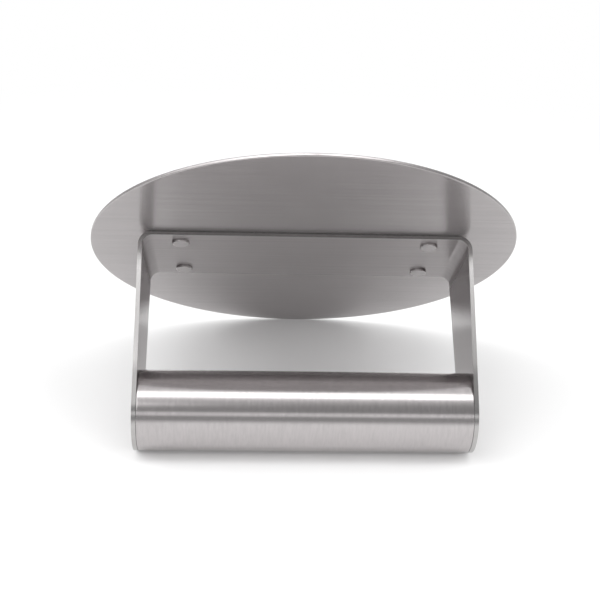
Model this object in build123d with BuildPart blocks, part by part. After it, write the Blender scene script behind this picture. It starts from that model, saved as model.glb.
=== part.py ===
import os
from build123d import *

# Round stainless burger press, drawn standing on its plate as it is used.
# The underside of the plate is at height zero, its middle is the origin,
# and the grip runs along X. All sizes are in millimetres.

# Press plate
plate_diameter = 155.0
plate_thickness = 1.2
plate_edge_radius = 0.3

# Handle bracket, one flat bar bent up at both ends
strap_thickness = 1.5
strap_width = 37.0
handle_width = 118.0
bend_inner_radius = 3.5
leg_straight = 3.0
strap_edge_radius = 0.5

# Grip tube between the two legs
grip_axis_height = 60.0
grip_diameter = 28.0
grip_wall = 1.2
grip_edge_radius = 0.3

# Studs that hold the bracket down on the plate
stud_spacing_x = 89.0
stud_spacing_y = 25.0
stud_head_diameter = 6.2
stud_head_height = 1.1
stud_head_edge_radius = 0.35
stud_shank_diameter = 4.0
stud_hole_clearance = 0.1

# Heights and lengths that follow from the sizes above
bracket_floor = plate_thickness
base_top = bracket_floor + strap_thickness
bend_outer_radius = bend_inner_radius + strap_thickness
bend_top = bracket_floor + bend_outer_radius
taper_start = bend_top + leg_straight
grip_axis = bracket_floor + grip_axis_height
leg_end_radius = grip_diameter / 2
bracket_top = grip_axis + leg_end_radius
grip_length = handle_width - 2 * strap_thickness
grip_bore = grip_diameter - 2 * grip_wall
stud_hole_diameter = stud_shank_diameter + 2 * stud_hole_clearance

os.makedirs("parts", exist_ok=True)

# The plate is a flat round blank with its rim rounded over on both faces.
with BuildPart() as press_plate:
    with BuildSketch(Plane.XY):
        Circle(plate_diameter / 2)
    extrude(amount=plate_thickness)
    fillet(press_plate.edges(), radius=plate_edge_radius)

# The bracket starts as the bent bar seen from the front.
with BuildPart() as handle_bracket:
    with BuildSketch(Plane.XZ):
        with Locations((0, (bracket_floor + bracket_top) / 2)):
            Rectangle(handle_width, bracket_top - bracket_floor)
    extrude(amount=strap_width / 2, both=True)
    lower_bends = handle_bracket.edges().filter_by(Axis.Y).group_by(Axis.Z)[0]
    fillet(lower_bends, radius=bend_outer_radius)
    with BuildSketch(Plane.XZ) as bracket_inside:
        with Locations((0, (base_top + bracket_top + strap_width) / 2)):
            Rectangle(grip_length, bracket_top + strap_width - base_top)
        inner_bends = bracket_inside.vertices().group_by(Axis.Y)[0]
        fillet(inner_bends, radius=bend_inner_radius)
    extrude(amount=strap_width, both=True, mode=Mode.SUBTRACT)
    # Seen from the side, each leg rises a little at the width of the bar,
    # narrows to the grip and ends in a round that is concentric with it.
    with BuildSketch(Plane.YZ):
        with Locations((0, grip_axis)):
            Circle(leg_end_radius)
        with Locations((0, (bracket_floor + taper_start) / 2)):
            Rectangle(strap_width, taper_start - bracket_floor)
        make_hull()
    extrude(amount=handle_width, both=True, mode=Mode.INTERSECT)
    # The cut edges of the bar are rounded all along it, on both faces.
    across_bar = handle_bracket.edges().filter_by(Axis.Y)
    through_bar = handle_bracket.edges().group_by(SortBy.LENGTH)[0]
    cut_edges = handle_bracket.edges() - across_bar - through_bar
    fillet(cut_edges, radius=strap_edge_radius)
    with BuildSketch(Plane.XY.offset(bracket_floor)):
        with GridLocations(stud_spacing_x, stud_spacing_y, 2, 2):
            Circle(stud_hole_diameter / 2)
    extrude(amount=strap_thickness, mode=Mode.SUBTRACT)

# The grip is a round tube that fills the space between the legs.
with BuildPart() as grip_tube:
    with BuildSketch(Plane.YZ):
        with Locations((0, grip_axis)):
            Circle(grip_diameter / 2)
            Circle(grip_bore / 2, mode=Mode.SUBTRACT)
    extrude(amount=grip_length / 2, both=True)
    grip_rims = grip_tube.edges().filter_by(GeomType.CIRCLE).group_by(SortBy.LENGTH)[-1]
    fillet(grip_rims, radius=grip_edge_radius)

# Each stud stands on the plate and its head grips the bar from above.
with BuildPart() as studs:
    with BuildSketch(Plane.XY.offset(bracket_floor)):
        with GridLocations(stud_spacing_x, stud_spacing_y, 2, 2):
            Circle(stud_shank_diameter / 2)
    extrude(amount=strap_thickness)
    with BuildSketch(Plane.XY.offset(base_top)):
        with GridLocations(stud_spacing_x, stud_spacing_y, 2, 2):
            Circle(stud_head_diameter / 2)
    extrude(amount=stud_head_height)
    head_rims = studs.edges().filter_by(GeomType.CIRCLE).group_by(Axis.Z)[-1]
    fillet(head_rims, radius=stud_head_edge_radius)

press_plate.part.label = "press_plate"
export_step(press_plate.part, "parts/press_plate.step")

handle_bracket.part.label = "handle_bracket"
export_step(handle_bracket.part, "parts/handle_bracket.step")

grip_tube.part.label = "grip_tube"
export_step(grip_tube.part, "parts/grip_tube.step")

studs.part.label = "studs"
export_step(studs.part, "parts/studs.step")

print("overall height", round(bracket_top, 2))
print("grip length", round(grip_length, 2))
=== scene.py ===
# %% [markdown]
# # A round burger press
#
# The press is a thin round plate with a handle. A flat steel bar lies on the plate, bends up at both
# ends and holds a round tube between its two legs. Four studs with flat heads hold the bar down.
# The CAD model is loaded first. It is in metres, with its plate flat on z = 0 and its grip along x,
# so each piece made here goes where the CAD says.

# %% Load the imported model
import math
import bmesh
import bpy
from mathutils import Matrix, Vector


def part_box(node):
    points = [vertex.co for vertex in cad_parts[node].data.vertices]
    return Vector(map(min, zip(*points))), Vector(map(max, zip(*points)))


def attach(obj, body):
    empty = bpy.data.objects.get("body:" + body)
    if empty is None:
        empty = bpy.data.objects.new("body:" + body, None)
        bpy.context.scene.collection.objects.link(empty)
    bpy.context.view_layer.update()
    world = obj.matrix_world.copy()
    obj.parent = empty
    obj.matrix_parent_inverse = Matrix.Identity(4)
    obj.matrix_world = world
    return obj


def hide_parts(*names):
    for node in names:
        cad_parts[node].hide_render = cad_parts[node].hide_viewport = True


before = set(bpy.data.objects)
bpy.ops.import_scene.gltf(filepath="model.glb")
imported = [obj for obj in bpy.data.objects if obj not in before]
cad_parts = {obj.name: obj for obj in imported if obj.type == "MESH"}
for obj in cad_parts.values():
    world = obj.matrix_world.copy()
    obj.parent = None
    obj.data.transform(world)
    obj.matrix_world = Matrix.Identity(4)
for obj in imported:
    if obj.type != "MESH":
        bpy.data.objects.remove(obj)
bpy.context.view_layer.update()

# %% [markdown]
# ## Sizes
#
# Most sizes are read off the CAD nodes' boxes, so the pieces can't drift from them. Only the sizes
# that a box doesn't show, such as a bend or a rounding, are given where they are first
# used. The boxes are of fine triangles, so a radius read from one may be a few microns short.

# %% Sizes in metres
MM = 0.001


def in_mm(*lengths):
    return [round(length / MM, 2) for length in lengths]


plate_low, plate_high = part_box("press_plate")
bar_low, bar_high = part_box("handle_bracket")
tube_low, tube_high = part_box("grip_tube")
stud_low, stud_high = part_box("studs")

plate_radius = plate_high.x
plate_top = plate_high.z
bar_thickness = bar_high.x - tube_high.x
bar_half_width = bar_high.y
grip_radius = tube_high.y
grip_axis = (tube_low.z + tube_high.z) / 2
grip_length = tube_high.x - tube_low.x
print("plate radius, underside and top, mm:", in_mm(plate_radius, plate_low.z, plate_top))
print("bar half width and thickness, mm:", in_mm(bar_half_width, bar_thickness))
print("grip radius, height and length, mm:", in_mm(grip_radius, grip_axis, grip_length))

# %% [markdown]
# ## From a bmesh to a piece
#
# Every piece ends the same way. Its doubles are merged and its normals turned outwards, and it is
# shaded smooth with its sharp edges kept. Then it is put on the only body, and the CAD node that it
# stands for is hidden. The object stays at the origin, unturned, with its place in its mesh, as the
# CAD's own objects do.

# %% A piece that stands for a CAD node
SHARP_ANGLE = math.radians(40)
MERGE_DISTANCE = 0.001 * MM


def close_up(bm):
    bmesh.ops.remove_doubles(bm, verts=bm.verts, dist=MERGE_DISTANCE)
    bmesh.ops.recalc_face_normals(bm, faces=bm.faces)


def make_mesh(bm, name):
    mesh = bpy.data.meshes.new(name)
    bm.to_mesh(mesh)
    bm.free()
    mesh.shade_smooth()
    mesh.set_sharp_from_angle(angle=SHARP_ANGLE)
    return mesh


def add_piece(mesh, node):
    piece = bpy.data.objects.new(mesh.name, mesh)
    bpy.context.collection.objects.link(piece)
    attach(piece, "root")
    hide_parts(node)
    print(mesh.name, "stands for", node, "with", len(mesh.polygons), "faces")
    return piece


print("edges sharper than", round(math.degrees(SHARP_ANGLE)), "degrees stay sharp")

# %% [markdown]
# ## Picking and rounding
#
# A bmesh operator gives back all that it made in one list, so the vertices or edges have to be picked
# out of it. An edge is rounded over with a bevel, which needs its profile and its kind said each time,
# because the defaults of the operator differ from those of the editor.

# %% Helpers for the operators
VERT, EDGE, FACE = bmesh.types.BMVert, bmesh.types.BMEdge, bmesh.types.BMFace
LEVEL = 0.01 * MM


def picked(items, kind):
    return [item for item in items if isinstance(item, kind)]


def level_edges(edges):
    """Picks the edges that lie level and leaves those that climb."""
    return [edge for edge in edges if abs(edge.verts[0].co.z - edge.verts[1].co.z) < LEVEL]


def once(items):
    """Gives each item once and in a fixed order, so that every run makes the same mesh."""
    return list(dict.fromkeys(items))


def round_over(bm, edges, radius, steps):
    bmesh.ops.bevel(bm, geom=edges, offset=radius, segments=steps, profile=0.5,
                    affect="EDGES", material=-1)


print("an edge lies level if its ends differ by less than", LEVEL / MM, "mm in height")

# %% [markdown]
# ## The round plate
#
# The plate is a disc cut from sheet, with its rim rounded over. A circle with a cap, extruded and
# bevelled, gives that. The caps are inset a little afterwards: the narrow ring keeps the smooth
# shading of the rounding from spreading over the flat face, where it would bend the reflections.

# %% Plate
PLATE_STEPS = 256
PLATE_RIM_STEPS = 5
RIM_ROUNDING = 0.3 * MM
SUPPORT = 0.5 * MM

bm = bmesh.new()
bmesh.ops.create_circle(bm, cap_ends=True, radius=plate_radius, segments=PLATE_STEPS)
raised = bmesh.ops.extrude_face_region(bm, geom=bm.faces[:])["geom"]
bmesh.ops.translate(bm, vec=(0, 0, plate_top), verts=picked(raised, VERT))
close_up(bm)
round_over(bm, level_edges(bm.edges), RIM_ROUNDING, PLATE_RIM_STEPS)
caps = [face for face in bm.faces if len(face.verts) == PLATE_STEPS]
bmesh.ops.inset_individual(bm, faces=caps, thickness=SUPPORT)
round_plate = add_piece(make_mesh(bm, "round_plate"), "press_plate")

# %% [markdown]
# ## The grip
#
# The grip is a length of tube. Two circles bridged into a ring, and the ring extruded along x, give a
# closed wall, with its bore open from end to end.

# %% Grip wall
GRIP_STEPS = 192
GRIP_WALL = 1.2 * MM


def add_circle(bm, radius, steps, place):
    """Adds a circle without a face and gives back its edges."""
    verts = bmesh.ops.create_circle(bm, radius=radius, segments=steps, matrix=place)["verts"]
    return once(edge for vert in verts for edge in vert.link_edges)


bm = bmesh.new()
tube_end = Matrix.Translation((tube_low.x, 0, grip_axis)) @ Matrix.Rotation(math.pi / 2, 4, "Y")
rings = []
for radius in (grip_radius, grip_radius - GRIP_WALL):
    rings += add_circle(bm, radius, GRIP_STEPS, tube_end)
bmesh.ops.bridge_loops(bm, edges=rings)
raised = bmesh.ops.extrude_face_region(bm, geom=bm.faces[:])["geom"]
bmesh.ops.translate(bm, vec=(grip_length, 0, 0), verts=picked(raised, VERT))
close_up(bm)
print("grip wall:", len(bm.faces), "faces, bore", in_mm(2 * (grip_radius - GRIP_WALL)), "mm across")

# %% [markdown]
# Only the outer rims of the tube are rounded, because its ends stand against the legs. A cut just
# inside each rim keeps the long faces flat in the shading, as the plate's narrow ring does.

# %% Grip rims
GRIP_RIM_STEPS = 4
NEAR = 0.1 * MM


def on_outer_rim(edge):
    ends = [vert.co for vert in edge.verts]
    across = abs(ends[0].x - ends[1].x) < NEAR
    outside = all(math.hypot(co.y, co.z - grip_axis) > grip_radius - NEAR for co in ends)
    return across and outside


rims = [edge for edge in bm.edges if on_outer_rim(edge)]
round_over(bm, rims, RIM_ROUNDING, GRIP_RIM_STEPS)
for side in (-1, 1):
    cut = (side * (grip_length / 2 - RIM_ROUNDING - SUPPORT), 0, 0)
    everything = bm.verts[:] + bm.edges[:] + bm.faces[:]
    bmesh.ops.bisect_plane(bm, geom=everything, plane_co=cut, plane_no=(1, 0, 0))
grip = add_piece(make_mesh(bm, "round_grip"), "grip_tube")

# %% [markdown]
# ## The bent bar
#
# The bar is one strip of sheet. It is made as a sheet without thickness, its outer skin: a flat base,
# spun up through a quarter turn at both ends, and drawn up into legs that narrow towards the grip and
# end in a round about its axis. The taper meets the round where a straight line from the shoulder
# just touches the circle, so the outline has no kink. That place is worked out first.

# %% Where the taper meets the round
BEND_RADIUS = 5.0 * MM
LEG_STRAIGHT = 3.0 * MM

bend_centre_x = bar_high.x - BEND_RADIUS
bend_top = bar_low.z + BEND_RADIUS
shoulder = bend_top + LEG_STRAIGHT
drop = grip_axis - shoulder
reach = math.hypot(bar_half_width, drop)
touch_angle = math.acos(grip_radius / reach) - math.atan2(drop, bar_half_width)
print("the taper touches the round at", round(math.degrees(touch_angle), 2), "degrees above the axis")

# %% [markdown]
# The base is a grid of one face. Spin turns its end up, and each later step extrudes that end once
# more and sets its height and half width, first at the shoulder and then round the top of the leg.

# %% Base, bends and legs
BEND_STEPS = 14
ROUND_STEPS = 16

bm = bmesh.new()
bmesh.ops.create_grid(bm, x_segments=1, y_segments=1, size=1)
bmesh.ops.scale(bm, vec=(bend_centre_x, bar_half_width, 1), verts=bm.verts)
bmesh.ops.translate(bm, vec=(0, 0, bar_low.z), verts=bm.verts)


def draw_up(edges, height, half_width):
    """Extrudes the end of a leg to a height and a half width, and gives back its new end."""
    grown = bmesh.ops.extrude_edge_only(bm, edges=edges)["geom"]
    for vert in picked(grown, VERT):
        vert.co.z = height
        vert.co.y = math.copysign(half_width, vert.co.y)
    return picked(grown, EDGE)


for side in (-1, 1):
    end = [e for e in bm.edges if all(v.co.x * side > bend_centre_x - NEAR for v in e.verts)]
    turned = bmesh.ops.spin(bm, geom=end, cent=(side * bend_centre_x, 0, bend_top),
                            axis=(0, -side, 0), angle=math.pi / 2, steps=BEND_STEPS)["geom_last"]
    end = draw_up(picked(turned, EDGE), shoulder, bar_half_width)
    for step in range(ROUND_STEPS + 1):
        angle = touch_angle + (math.pi / 2 - touch_angle) * step / ROUND_STEPS
        height = grip_axis + grip_radius * math.sin(angle)
        end = draw_up(level_edges(end), height, grip_radius * math.cos(angle))
print("bar sheet without holes:", len(bm.faces), "faces")

# %% [markdown]
# The studs pass through four holes in the base. Two pairs of cuts in each direction leave a small
# square round each stud.

# %% Cuts round the studs
STUD_X, STUD_Y = 44.5 * MM, 12.5 * MM
PATCH = 3.5 * MM


def cut_base(place, normal):
    base = [face for face in bm.faces if abs(face.calc_center_median().z - bar_low.z) < LEVEL]
    region = once(item for face in base for item in (*face.verts, *face.edges, face))
    bmesh.ops.bisect_plane(bm, geom=region, plane_co=place, plane_no=normal)


for distance, normal in ((STUD_X, Vector((1, 0, 0))), (STUD_Y, Vector((0, 1, 0)))):
    for side in (-1, 1):
        for margin in (-PATCH, PATCH):
            cut_base(normal * (distance * side + margin), normal)
print("bar sheet with its cuts:", len(bm.faces), "faces")

# %% [markdown]
# Each square is then opened, and its border is bridged to a circle. The border is first divided into
# as many parts as the circle has, so that the bridge runs evenly all round.

# %% Stud holes
HOLE_RADIUS = 2.1 * MM
HOLE_STEPS = 24

stud_places = [(x, y) for x in (-STUD_X, STUD_X) for y in (-STUD_Y, STUD_Y)]
for x, y in stud_places:
    middle = Vector((x, y, bar_low.z))
    square = min(bm.faces, key=lambda face: (face.calc_center_median() - middle).length)
    sides = square.edges[:]
    bmesh.ops.delete(bm, geom=[square], context="FACES_ONLY")
    made = bmesh.ops.subdivide_edges(bm, edges=sides, cuts=HOLE_STEPS // 4 - 1)["geom_split"]
    hole = add_circle(bm, HOLE_RADIUS, HOLE_STEPS, Matrix.Translation(middle))
    bmesh.ops.bridge_loops(bm, edges=once(picked(made, EDGE) + hole))
print("bar sheet with its holes:", len(bm.faces), "faces")

# %% [markdown]
# Solidify gives the sheet its thickness towards the inside, where the hand is. It goes by the normals,
# so the skin's have to point away from the hand first. The cut edges take the piece's second material,
# because no brushing shows on them. Bevel is asked to round those edges by half a millimetre, but its
# limit on overlaps, which is on unless it is turned off, leaves only 0.009 mm of that here. So the
# edges are nearly sharp, which is a known fault of this bar.

# %% Bar thickness and edges
BAR_ROUNDING = 0.5 * MM
BAR_EDGE_STEPS = 5

close_up(bm)
lowest = min(bm.faces, key=lambda face: face.calc_center_median().z)
if lowest.normal.z > 0:
    bmesh.ops.reverse_faces(bm, faces=bm.faces)
bent_bar = add_piece(make_mesh(bm, "bent_bar"), "handle_bracket")

wall = bent_bar.modifiers.new("sheet_thickness", "SOLIDIFY")
wall.thickness = bar_thickness
wall.offset = -1
wall.use_even_offset = True
wall.material_offset_rim = 1

rounding = bent_bar.modifiers.new("cut_edges", "BEVEL")
rounding.width = BAR_ROUNDING
rounding.segments = BAR_EDGE_STEPS
rounding.limit_method = "ANGLE"
rounding.angle_limit = SHARP_ANGLE
rounding.harden_normals = True
print("bar thickness and the rounding asked for, mm:", in_mm(wall.thickness, rounding.width))

# %% [markdown]
# ## The studs
#
# Each stud is a short shank with a low flat head. One is drawn up from a circle: the shank, a step out
# to the head, and the head's side. Extruding the face together with its edges leaves no face behind
# inside the stud.

# %% One stud
SHANK_RADIUS = 2.0 * MM
HEAD_RADIUS = 3.1 * MM
STUD_STEPS = 48
head_floor = bar_low.z + bar_thickness


def grow(face, height, scale):
    """Extrudes the top face, moves it up and scales it about the middle."""
    made = bmesh.ops.extrude_face_region(bm, geom=[face, *face.edges])["geom"]
    verts = picked(made, VERT)
    bmesh.ops.translate(bm, vec=(0, 0, height), verts=verts)
    bmesh.ops.scale(bm, vec=(scale, scale, 1), verts=verts)
    return picked(made, FACE)[0]


bm = bmesh.new()
bmesh.ops.create_circle(bm, cap_ends=True, radius=SHANK_RADIUS, segments=STUD_STEPS,
                        matrix=Matrix.Translation((0, 0, stud_low.z)))
top = grow(bm.faces[:][0], head_floor - stud_low.z, 1)
top = grow(top, 0, HEAD_RADIUS / SHANK_RADIUS)
top = grow(top, stud_high.z - head_floor, 1)
print("stud head from", in_mm(head_floor), "to", in_mm(stud_high.z), "mm above the table")

# %% [markdown]
# The head's rim gets a small rounding, and an inset ring inside it, again for the shading. The other
# studs are copies in the same mesh, because the CAD has the four in one node.

# %% Four studs
HEAD_ROUNDING = 0.35 * MM
HEAD_STEPS = 7
HEAD_SUPPORT = 0.15 * MM

rim = top.edges[:]
close_up(bm)
round_over(bm, rim, HEAD_ROUNDING, HEAD_STEPS)
cap = max(bm.faces, key=lambda face: face.calc_center_median().z)
bmesh.ops.inset_individual(bm, faces=[cap], thickness=HEAD_SUPPORT)
first_stud = bm.verts[:] + bm.edges[:] + bm.faces[:]
for x, y in stud_places[1:]:
    copy = bmesh.ops.duplicate(bm, geom=first_stud)["geom"]
    bmesh.ops.translate(bm, vec=(x, y, 0), verts=picked(copy, VERT))
x, y = stud_places[0]
bmesh.ops.translate(bm, vec=(x, y, 0), verts=picked(first_stud, VERT))
stud_heads = add_piece(make_mesh(bm, "flat_head_studs"), "studs")

# %% [markdown]
# ## Brushed steel
#
# Brushing leaves fine parallel scratches. Seen from afar they smear a reflection across the grain and
# leave it sharp along the grain. The Principled shader does that with its anisotropy, and its tangent
# says which way the smear goes. A few helpers for nodes come first, since each material needs them.

# %% Node helpers
def link(tree, source, target):
    tree.links.new(source, target)


def add_node(tree, kind, **values):
    node = tree.nodes.new(kind)
    for name, value in values.items():
        setattr(node, name, value)
    return node


def add_range(tree, value, inside, outside, **values):
    """Adds a Map Range node that carries a value from one pair of limits over to another."""
    node = add_node(tree, "ShaderNodeMapRange", **values)
    node.inputs["From Min"].default_value, node.inputs["From Max"].default_value = inside
    node.inputs["To Min"].default_value, node.inputs["To Max"].default_value = outside
    link(tree, value, node.inputs["Value"])
    return node.outputs["Result"]


def set_stops(ramp, stops):
    """Gives a Color Ramp its stops, each a place from 0 to 1 and a colour."""
    while len(ramp.elements) < len(stops):
        ramp.elements.new(1)
    for element, (place, colour) in zip(ramp.elements, stops):
        element.position = place
        element.color = (*colour, 1)


# %% [markdown]
# A noise that is stretched along the grain gives the streaks that can be seen one by one. A second,
# soft noise makes some of them lighter or darker over a few centimetres, as an uneven hand or a worn
# brush does.

# %% Streaks of the brushing
STREAK_DETAIL = 4.0
STREAK_ROUGHNESS = 0.65
CLOUD_SCALE = 45.0
CLOUD_DETAIL = 3.0
CLOUD_SHARE = 0.35


def add_streaks(tree, grain):
    """Gives back the streaks alone, and the streaks with the clouds added."""
    place = add_node(tree, "ShaderNodeTexCoord")
    stretch = add_node(tree, "ShaderNodeMapping")
    stretch.inputs["Scale"].default_value = grain
    streaks = add_node(tree, "ShaderNodeTexNoise")
    streaks.inputs["Scale"].default_value = 1.0
    streaks.inputs["Detail"].default_value = STREAK_DETAIL
    streaks.inputs["Roughness"].default_value = STREAK_ROUGHNESS
    link(tree, place.outputs["Object"], stretch.inputs["Vector"])
    link(tree, stretch.outputs["Vector"], streaks.inputs["Vector"])

    clouds = add_node(tree, "ShaderNodeTexNoise")
    clouds.inputs["Scale"].default_value = CLOUD_SCALE
    clouds.inputs["Detail"].default_value = CLOUD_DETAIL
    link(tree, place.outputs["Object"], clouds.inputs["Vector"])

    both = add_node(tree, "ShaderNodeMath", operation="MULTIPLY_ADD")
    both.inputs[1].default_value = CLOUD_SHARE
    link(tree, clouds.outputs["Fac"], both.inputs[0])
    link(tree, streaks.outputs["Fac"], both.inputs[2])
    return streaks.outputs["Fac"], both.outputs["Value"]


print("clouds of about", round(1000 / CLOUD_SCALE), "mm lie over the streaks")

# %% [markdown]
# The streaks change the steel's colour a little, its roughness very little and its normal hardly at
# all. Stronger changes look like noise in a mirror image, not like metal. Anisotropy is the same all
# over, so it is set on the shader itself. The tangent points across the grain, the way of the smear.

# %% Steel material
TONE_LIMITS = (0.52, 0.83)
GLOSS_LIMITS = (0.45, 0.90)
GLOSS_SPREAD = 0.01
SCRATCH_DEPTH = 0.01 * MM


def brushed_steel(name, grain, smear, light, dark, roughness, anisotropy, bump):
    """grain: noise cells per metre along x, y and z. smear: the direction across the grain."""
    material = bpy.data.materials.new(name)
    material.use_nodes = True
    tree = material.node_tree
    steel = tree.nodes["Principled BSDF"]
    steel.inputs["Metallic"].default_value = 1.0
    steel.inputs["Anisotropic"].default_value = anisotropy
    streaks, both = add_streaks(tree, grain)

    tone = add_node(tree, "ShaderNodeValToRGB")
    set_stops(tone.color_ramp, list(zip(TONE_LIMITS, (dark, light))))
    link(tree, both, tone.inputs["Fac"])
    link(tree, tone.outputs["Color"], steel.inputs["Base Color"])

    gloss = add_range(tree, both, GLOSS_LIMITS, (roughness + GLOSS_SPREAD, roughness - GLOSS_SPREAD))
    link(tree, gloss, steel.inputs["Roughness"])

    scratches = add_node(tree, "ShaderNodeBump")
    scratches.inputs["Strength"].default_value = bump
    scratches.inputs["Distance"].default_value = SCRATCH_DEPTH
    link(tree, streaks, scratches.inputs["Height"])
    link(tree, scratches.outputs["Normal"], steel.inputs["Normal"])

    across = add_node(tree, "ShaderNodeCombineXYZ")
    for socket, value in zip(across.inputs, smear):
        socket.default_value = value
    link(tree, across.outputs["Vector"], steel.inputs["Tangent"])
    print(name, "with", len(tree.nodes), "nodes")
    return material


# %% [markdown]
# The plate is brushed along x and the bar along its own length, up the legs too, so their grain is
# long in x and z and fine in y. The plate is smoother than the bar's base, and mirrors the legs as
# dark bands with clear sides. The tube is brushed round, in short streaks. No brushing shows on the
# cut edges and the studs, so nothing is smeared in them.

# %% Steels of the press
LIGHT_STEEL = (0.504, 0.480, 0.482)
DARK_STEEL = (0.452, 0.430, 0.432)
LIGHT_EDGE = (0.72, 0.705, 0.70)
DARK_EDGE = (0.66, 0.645, 0.64)
DARK_STUD = (0.41, 0.39, 0.39)
ALONG_X, ACROSS_X = (1, 0, 0), (0, 1, 0)
STRAIGHT_GRAIN = (9, 900, 9)

plate_steel = brushed_steel("plate_steel", STRAIGHT_GRAIN, ACROSS_X, LIGHT_STEEL, DARK_STEEL,
                            roughness=0.25, anisotropy=0.93, bump=0.012)
bar_steel = brushed_steel("bar_steel", STRAIGHT_GRAIN, ACROSS_X, LIGHT_STEEL, DARK_STEEL,
                          roughness=0.33, anisotropy=0.90, bump=0.02)
bar_edge_steel = brushed_steel("bar_edge_steel", (700, 700, 60), ALONG_X, LIGHT_EDGE, DARK_EDGE,
                               roughness=0.20, anisotropy=0.0, bump=0.05)
grip_steel = brushed_steel("grip_steel", (1500, 240, 240), ALONG_X, LIGHT_STEEL, DARK_STEEL,
                           roughness=0.21, anisotropy=0.4, bump=0.03)
stud_steel = brushed_steel("stud_steel", (500, 500, 500), ALONG_X, DARK_STEEL, DARK_STUD,
                           roughness=0.14, anisotropy=0.0, bump=0.05)

# %% [markdown]
# Two things on the bar change with height. Its base is brushed rougher than its legs. Its cut edge
# carries painted shade: it is darkened beside the grip and along the base, with two painted dark
# lines there, a painted contact shadow where it meets the plate and a painted dark reflection near
# its top. A ramp over the height scales the input that the streaks already feed, so the grain stays.

# %% Roughness and painted shade that change with height
LEG_GLOSS = ((4.0, 1.0), (11.0, 0.68))
# Painted shade on the cut edge: pairs of a height in mm and the share of its colour kept there.
EDGE_PAINTED_SHADE = ((1.3, 0.10), (1.7, 0.60), (2.2, 0.60), (2.4, 0.38), (2.7, 0.60), (7.0, 1.0),
              (47.0, 1.0), (52.0, 0.66))


def scale_by_height(material, socket, shares):
    """Scales an input of the steel by height. shares: pairs of a height in mm and a share."""
    tree = material.node_tree
    steel = tree.nodes["Principled BSDF"]
    plain = steel.inputs[socket].links[0].from_socket
    place = add_node(tree, "ShaderNodeTexCoord")
    axes = add_node(tree, "ShaderNodeSeparateXYZ")
    link(tree, place.outputs["Object"], axes.inputs[0])
    profile = add_node(tree, "ShaderNodeValToRGB")
    set_stops(profile.color_ramp, [(mm * MM / bar_high.z, (share,) * 3) for mm, share in shares])
    height = add_range(tree, axes.outputs["Z"], (0, bar_high.z), (0, 1))
    link(tree, height, profile.inputs["Fac"])
    scaled = add_node(tree, "ShaderNodeVectorMath", operation="MULTIPLY")
    link(tree, plain, scaled.inputs[0])
    link(tree, profile.outputs["Color"], scaled.inputs[1])
    link(tree, scaled.outputs["Vector"], steel.inputs[socket])
    print(material.name, socket, "scaled at", len(shares), "heights")


scale_by_height(bar_steel, "Roughness", LEG_GLOSS)
# The cut edge's base colour is darkened by height, as painted shade.
scale_by_height(bar_edge_steel, "Base Color", EDGE_PAINTED_SHADE)

# %% [markdown]
# The bar takes two materials, one for its faces and one for its cut edges, in the order that Solidify
# counts them. Every other piece takes one.

# %% Steels on the pieces
finishes = ((round_plate, [plate_steel]), (bent_bar, [bar_steel, bar_edge_steel]),
            (grip, [grip_steel]), (stud_heads, [stud_steel]))
for piece, steels in finishes:
    for steel in steels:
        piece.data.materials.append(steel)
    print(piece.name, "has", [steel.name for steel in steels])

# %% [markdown]
# ## The way the photograph has it
#
# In the photograph the press isn't standing. It lies on the rim of its plate and on its grip. The
# model stays as the CAD has it, and the floor, the lamps and the camera are turned instead. Their
# directions are written in the model's frame: down is towards the floor that both rest on, ahead is
# level and towards the camera.

# %% Directions of the photograph
FLOOR_DEPTH = 56.49 * MM
down = Vector((0, 0.7197, 0.6943)).normalized()
up = -down
ahead = Vector((0, -down.z, down.y))
sideways = Vector((1, 0, 0))
floor_middle = down * FLOOR_DEPTH
print("down", [round(v, 4) for v in down], "ahead", [round(v, 4) for v in ahead])
print("grip above the floor, mm:", in_mm(FLOOR_DEPTH - down.z * grip_axis - grip_radius))

# %% [markdown]
# ## Camera
#
# The camera's place, turn and lens are those that make the edges of the press fall where the
# photograph has them. Its three axes are written out: to the right of the picture, to its top, and
# back from the press.

# %% Camera
CAMERA_PLACE = (0.020613, -0.365025, 0.149646)
PICTURE_RIGHT = Vector((-0.99866213, -0.05162847, 0.00290734))
PICTURE_TOP = Vector((0.01455033, -0.33451289, -0.94227884))
CAMERA_BACK = Vector((0.04962096, -0.94097589, 0.33481657))
LENS_IN_MM = 63.92
SENSOR_IN_MM = 36.0
CLIP_START = 0.01

camera_data = bpy.data.cameras.new("camera")
camera_data.lens = LENS_IN_MM
camera_data.sensor_width = SENSOR_IN_MM
camera_data.clip_start = CLIP_START
camera = bpy.data.objects.new("camera", camera_data)
bpy.context.collection.objects.link(camera)
bpy.context.scene.camera = camera
turn = Matrix((PICTURE_RIGHT, PICTURE_TOP, CAMERA_BACK)).transposed().to_4x4()
camera.matrix_world = Matrix.Translation(CAMERA_PLACE) @ turn
print("camera", round(camera.matrix_world.translation.length, 3), "m from the middle of the plate")

# %% [markdown]
# ## Floor
#
# The floor is a wide sheet that touches the plate's rim and the grip. It isn't part of the press.

# %% Floor sheet
FLOOR_RADIUS = 2.0
FLOOR_STEPS = 64

bm = bmesh.new()
tilt = Matrix((sideways, up.cross(sideways), up)).transposed().to_4x4()
bmesh.ops.create_circle(bm, cap_ends=True, radius=FLOOR_RADIUS, segments=FLOOR_STEPS,
                        matrix=Matrix.Translation(floor_middle) @ tilt)
bm.faces.ensure_lookup_table()
if bm.faces[0].normal.dot(up) < 0:
    bmesh.ops.reverse_faces(bm, faces=bm.faces)
floor_sheet = bpy.data.objects.new("floor_sheet", make_mesh(bm, "floor_sheet"))
bpy.context.collection.objects.link(floor_sheet)
print("floor sheet", 2 * FLOOR_RADIUS, "m across")

# %% [markdown]
# The floor's material starts from nothing but its output, as those of the studio's walls and of the
# strip light do further on. Its nodes do sums with what Light Path says about each ray, so Math nodes
# get a helper that takes numbers and sockets alike.

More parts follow.
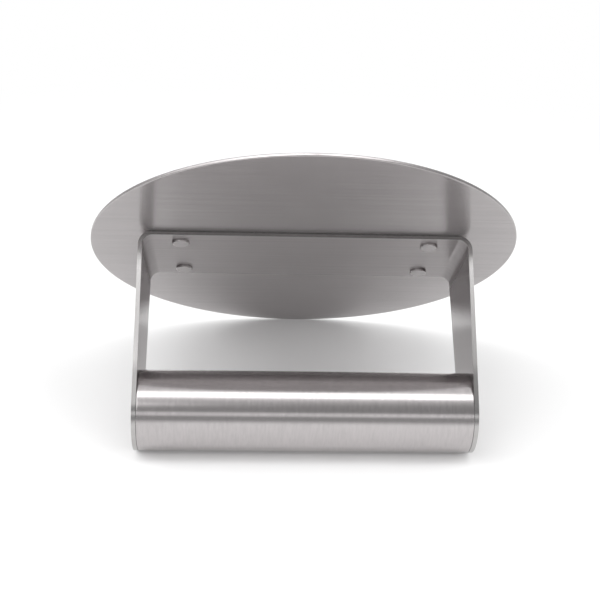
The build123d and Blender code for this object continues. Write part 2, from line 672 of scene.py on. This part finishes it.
# %% Helpers for the stage's materials
def clear_paint(name):
    """Makes a material with nothing but its output, and gives back all three."""
    material = bpy.data.materials.new(name)
    material.use_nodes = True
    tree = material.node_tree
    tree.nodes.clear()
    return material, tree, add_node(tree, "ShaderNodeOutputMaterial")


def add_math(tree, operation, *values):
    """Adds a Math node on numbers or on the outputs of other nodes."""
    node = add_node(tree, "ShaderNodeMath", operation=operation)
    for socket, value in zip(node.inputs, values):
        if isinstance(value, float):
            socket.default_value = value
        else:
            link(tree, value, socket)
    return node.outputs["Value"]


def add_mix(tree, share, first, second):
    node = add_node(tree, "ShaderNodeMixShader")
    for socket, value in zip(node.inputs, (share, first, second)):
        link(tree, value, socket)
    return node.outputs["Shader"]


# %% [markdown]
# Near the press the floor is white paint that takes shadows. Further out it turns into a light of its
# own, for the camera and in reflections, so that it has no edge. Light Path tells these rays from the
# ones that only carry light about, for which the whole floor stays paint.

# %% Floor that fades into white
FLOOR_TONE = 0.92
CAMERA_FLOOR_TONE = 0.94
FADE_LIMITS = (0.16, 0.45)

floor_paint, tree, out = clear_paint("floor_paint")
path = add_node(tree, "ShaderNodeLightPath")
by_camera, by_gloss = path.outputs["Is Camera Ray"], path.outputs["Is Glossy Ray"]
paint = add_node(tree, "ShaderNodeBsdfDiffuse")
link(tree, add_range(tree, by_camera, (0, 1), (FLOOR_TONE, CAMERA_FLOOR_TONE)), paint.inputs["Color"])
glow = add_node(tree, "ShaderNodeEmission")
link(tree, add_range(tree, by_camera, (0, 1), (FLOOR_TONE, 1)), glow.inputs["Strength"])

spot = add_node(tree, "ShaderNodeTexCoord")
far = add_node(tree, "ShaderNodeVectorMath", operation="DISTANCE")
far.inputs[1].default_value = floor_middle
link(tree, spot.outputs["Object"], far.inputs[0])
fade = add_range(tree, far.outputs["Value"], FADE_LIMITS, (0, 1), interpolation_type="SMOOTHSTEP")
away = add_math(tree, "MULTIPLY", fade, add_math(tree, "MAXIMUM", by_camera, by_gloss))
print("the floor is white from", FADE_LIMITS[1], "m out")

# %% [markdown]
# The press mirrors its own shadow on the floor, which would leave black patches in the steel, so
# reflections get a small share of white even there. Seen from underneath, the floor lets the camera
# through, so that it doesn't hide the press in a view from behind or from above.

# %% Floor shadow and its one side
SHADOW_LIFT = 0.055

white = add_math(tree, "MAXIMUM", away, add_math(tree, "MULTIPLY", by_gloss, SHADOW_LIFT))
mixed = add_mix(tree, white, paint.outputs["BSDF"], glow.outputs["Emission"])
shape = add_node(tree, "ShaderNodeNewGeometry")
under = add_math(tree, "MULTIPLY", shape.outputs["Backfacing"], by_camera)
clear = add_node(tree, "ShaderNodeBsdfTransparent")
link(tree, add_mix(tree, under, mixed, clear.outputs["BSDF"]), out.inputs["Surface"])
floor_sheet.data.materials.append(floor_paint)
print("floor_paint with", len(tree.nodes), "nodes")

# %% [markdown]
# ## Light
#
# A narrow softbox hangs over the press and a wide one stands at the left of the picture. The steel
# mirrors both. A third at the right and one at each side leave no image in the steel: they only
# brighten the floor, and keep the shadow on it soft and light.

# %% Softboxes
def add_softbox(name, azimuth, elevation, distance, size, energy, reflected):
    """azimuth is from ahead towards +x, both angles in degrees; the lamp faces the press."""
    data = bpy.data.lights.new(name, "AREA")
    data.shape = "RECTANGLE"
    data.size, data.size_y = size
    data.energy = energy
    lamp = bpy.data.objects.new(name, data)
    bpy.context.collection.objects.link(lamp)
    a, e = math.radians(azimuth), math.radians(elevation)
    towards = (ahead * math.cos(a) + sideways * math.sin(a)) * math.cos(e) + up * math.sin(e)
    across = sideways * math.cos(a) - ahead * math.sin(a)
    facing = Matrix((across, towards.cross(across), towards)).transposed().to_4x4()
    lamp.matrix_world = Matrix.Translation(towards * distance) @ facing
    lamp.visible_glossy = reflected
    print(name, energy, "W from", azimuth, elevation, "degrees")


add_softbox("softbox_top", azimuth=0, elevation=73.8, distance=0.9,
            size=(1.0, 0.26), energy=1.9, reflected=True)
add_softbox("softbox_left", azimuth=62, elevation=45, distance=1.2,
            size=(1.7, 0.65), energy=4.2, reflected=True)
add_softbox("softbox_right", azimuth=-45, elevation=20, distance=1.2,
            size=(0.8, 0.40), energy=3.8, reflected=False)
for side in (-90, 90):
    add_softbox("side_light", azimuth=side, elevation=25, distance=1.2,
                size=(1.2, 0.50), energy=3.6, reflected=False)

# %% [markdown]
# The world is the white of the studio. The camera and the reflections see it at full white. For all
# other rays it is a weaker fill, so that the floor round the press keeps its soft shadow.

# %% World
FILL = 0.70
WHITE = (1, 1, 1, 1)

world = bpy.data.worlds.new("studio")
bpy.context.scene.world = world
world.use_nodes = True
tree = world.node_tree
tree.nodes.clear()
out = add_node(tree, "ShaderNodeOutputWorld")
fill = add_node(tree, "ShaderNodeBackground")
fill.inputs["Color"].default_value = WHITE
fill.inputs["Strength"].default_value = FILL
backdrop = add_node(tree, "ShaderNodeBackground")
backdrop.inputs["Color"].default_value = WHITE
path = add_node(tree, "ShaderNodeLightPath")
seen = add_math(tree, "MAXIMUM", path.outputs["Is Camera Ray"], path.outputs["Is Glossy Ray"])
seen = add_math(tree, "MAXIMUM", seen, path.outputs["Is Transmission Ray"])
mixed = add_mix(tree, seen, fill.outputs["Background"], backdrop.outputs["Background"])
link(tree, mixed, out.inputs["Surface"])
print("the world fills in at", FILL)

# %% [markdown]
# ## What the steel mirrors
#
# Steel shows what is round it, so a plain white world would make the press look flat. A dome that only
# reflections see stands in for the walls of the studio. It is an arc spun all the way round, from just
# above the floor to not quite the top, where the white of the world shows through.

# %% Studio walls that only reflections see
WALL_RADIUS = 1.5
WALL_TOP_DEGREES = 69
WALL_RISE_STEPS, WALL_ROUND_STEPS = 24, 72


def add_card(bm, name):
    """Adds a card, a sheet that only reflections see."""
    card = bpy.data.objects.new(name, make_mesh(bm, name))
    bpy.context.collection.objects.link(card)
    card.visible_camera = False
    card.visible_diffuse = False
    card.visible_shadow = False
    return card


bm = bmesh.new()
foot = bm.verts.new(ahead * WALL_RADIUS)
bmesh.ops.spin(bm, geom=[foot], cent=(0, 0, 0), axis=sideways,
               angle=math.radians(WALL_TOP_DEGREES), steps=WALL_RISE_STEPS)
bmesh.ops.spin(bm, geom=bm.verts[:] + bm.edges[:], cent=(0, 0, 0), axis=up, angle=2 * math.pi,
               steps=WALL_ROUND_STEPS, use_merge=True)
studio_walls = add_card(bm, "studio_walls")
print("studio walls up to", WALL_TOP_DEGREES, "degrees")

# %% [markdown]
# The walls are grey low down, a little darker at 28 degrees, and get light towards the softbox above.
# The height in degrees comes from the place on the dome, measured along up.

# %% Levels of the studio walls
STUDIO_LEVELS = ((0, 0.42), (15, 0.39), (28, 0.33), (45, 0.42), (57, 0.74), (63, 1.02), (69, 1.10))

card_paint, tree, out = clear_paint("card_paint")
spot = add_node(tree, "ShaderNodeTexCoord")
rise = add_node(tree, "ShaderNodeVectorMath", operation="DOT_PRODUCT")
rise.inputs[1].default_value = up
link(tree, spot.outputs["Object"], rise.inputs[0])
climb = add_math(tree, "ARCSINE", add_math(tree, "DIVIDE", rise.outputs["Value"], WALL_RADIUS))
levels = add_node(tree, "ShaderNodeValToRGB")
set_stops(levels.color_ramp, [(degrees / 90, (level,) * 3) for degrees, level in STUDIO_LEVELS])
link(tree, add_range(tree, climb, (0, math.pi / 2), (0, 1)), levels.inputs["Fac"])
glow = add_node(tree, "ShaderNodeEmission")
link(tree, levels.outputs["Color"], glow.inputs["Color"])
link(tree, glow.outputs["Emission"], out.inputs["Surface"])
studio_walls.data.materials.append(card_paint)
print("darkest wall level", min(level for degrees, level in STUDIO_LEVELS))

# %% [markdown]
# A second, narrow card close in front of the grip puts the thin light line just below the middle of
# the tube. It is a straight edge, turned about the tube's axis to its height and spun into a band.

# %% Strip light
STRIP_DISTANCE = 0.25
STRIP_HALF_LENGTH = 0.4
STRIP_LOW, STRIP_HIGH = math.radians(17.5), math.radians(27)
STRIP_STEPS = 4
STRIP_STRENGTH = 1.15

grip_middle = Vector((0, 0, grip_axis))
strip_middle = grip_middle + ahead * STRIP_DISTANCE
bm = bmesh.new()
ends = [bm.verts.new(strip_middle + sideways * x) for x in (-STRIP_HALF_LENGTH, STRIP_HALF_LENGTH)]
line = bm.edges.new(ends)
bmesh.ops.rotate(bm, verts=ends, cent=grip_middle, matrix=Matrix.Rotation(STRIP_LOW, 3, sideways))
bmesh.ops.spin(bm, geom=[*ends, line], cent=grip_middle, axis=sideways,
               angle=STRIP_HIGH - STRIP_LOW, steps=STRIP_STEPS)
strip = add_card(bm, "strip_light")

strip_paint, tree, out = clear_paint("strip_paint")
glow = add_node(tree, "ShaderNodeEmission")
glow.inputs["Strength"].default_value = STRIP_STRENGTH
link(tree, glow.outputs["Emission"], out.inputs["Surface"])
strip.data.materials.append(strip_paint)
print("strip light", STRIP_DISTANCE, "m in front of the grip")

# %% [markdown]
# ## The end
#
# The view transform is Standard, so that a colour renders about as it is written.

# %% Finish
bpy.context.scene.view_settings.view_transform = "Standard"
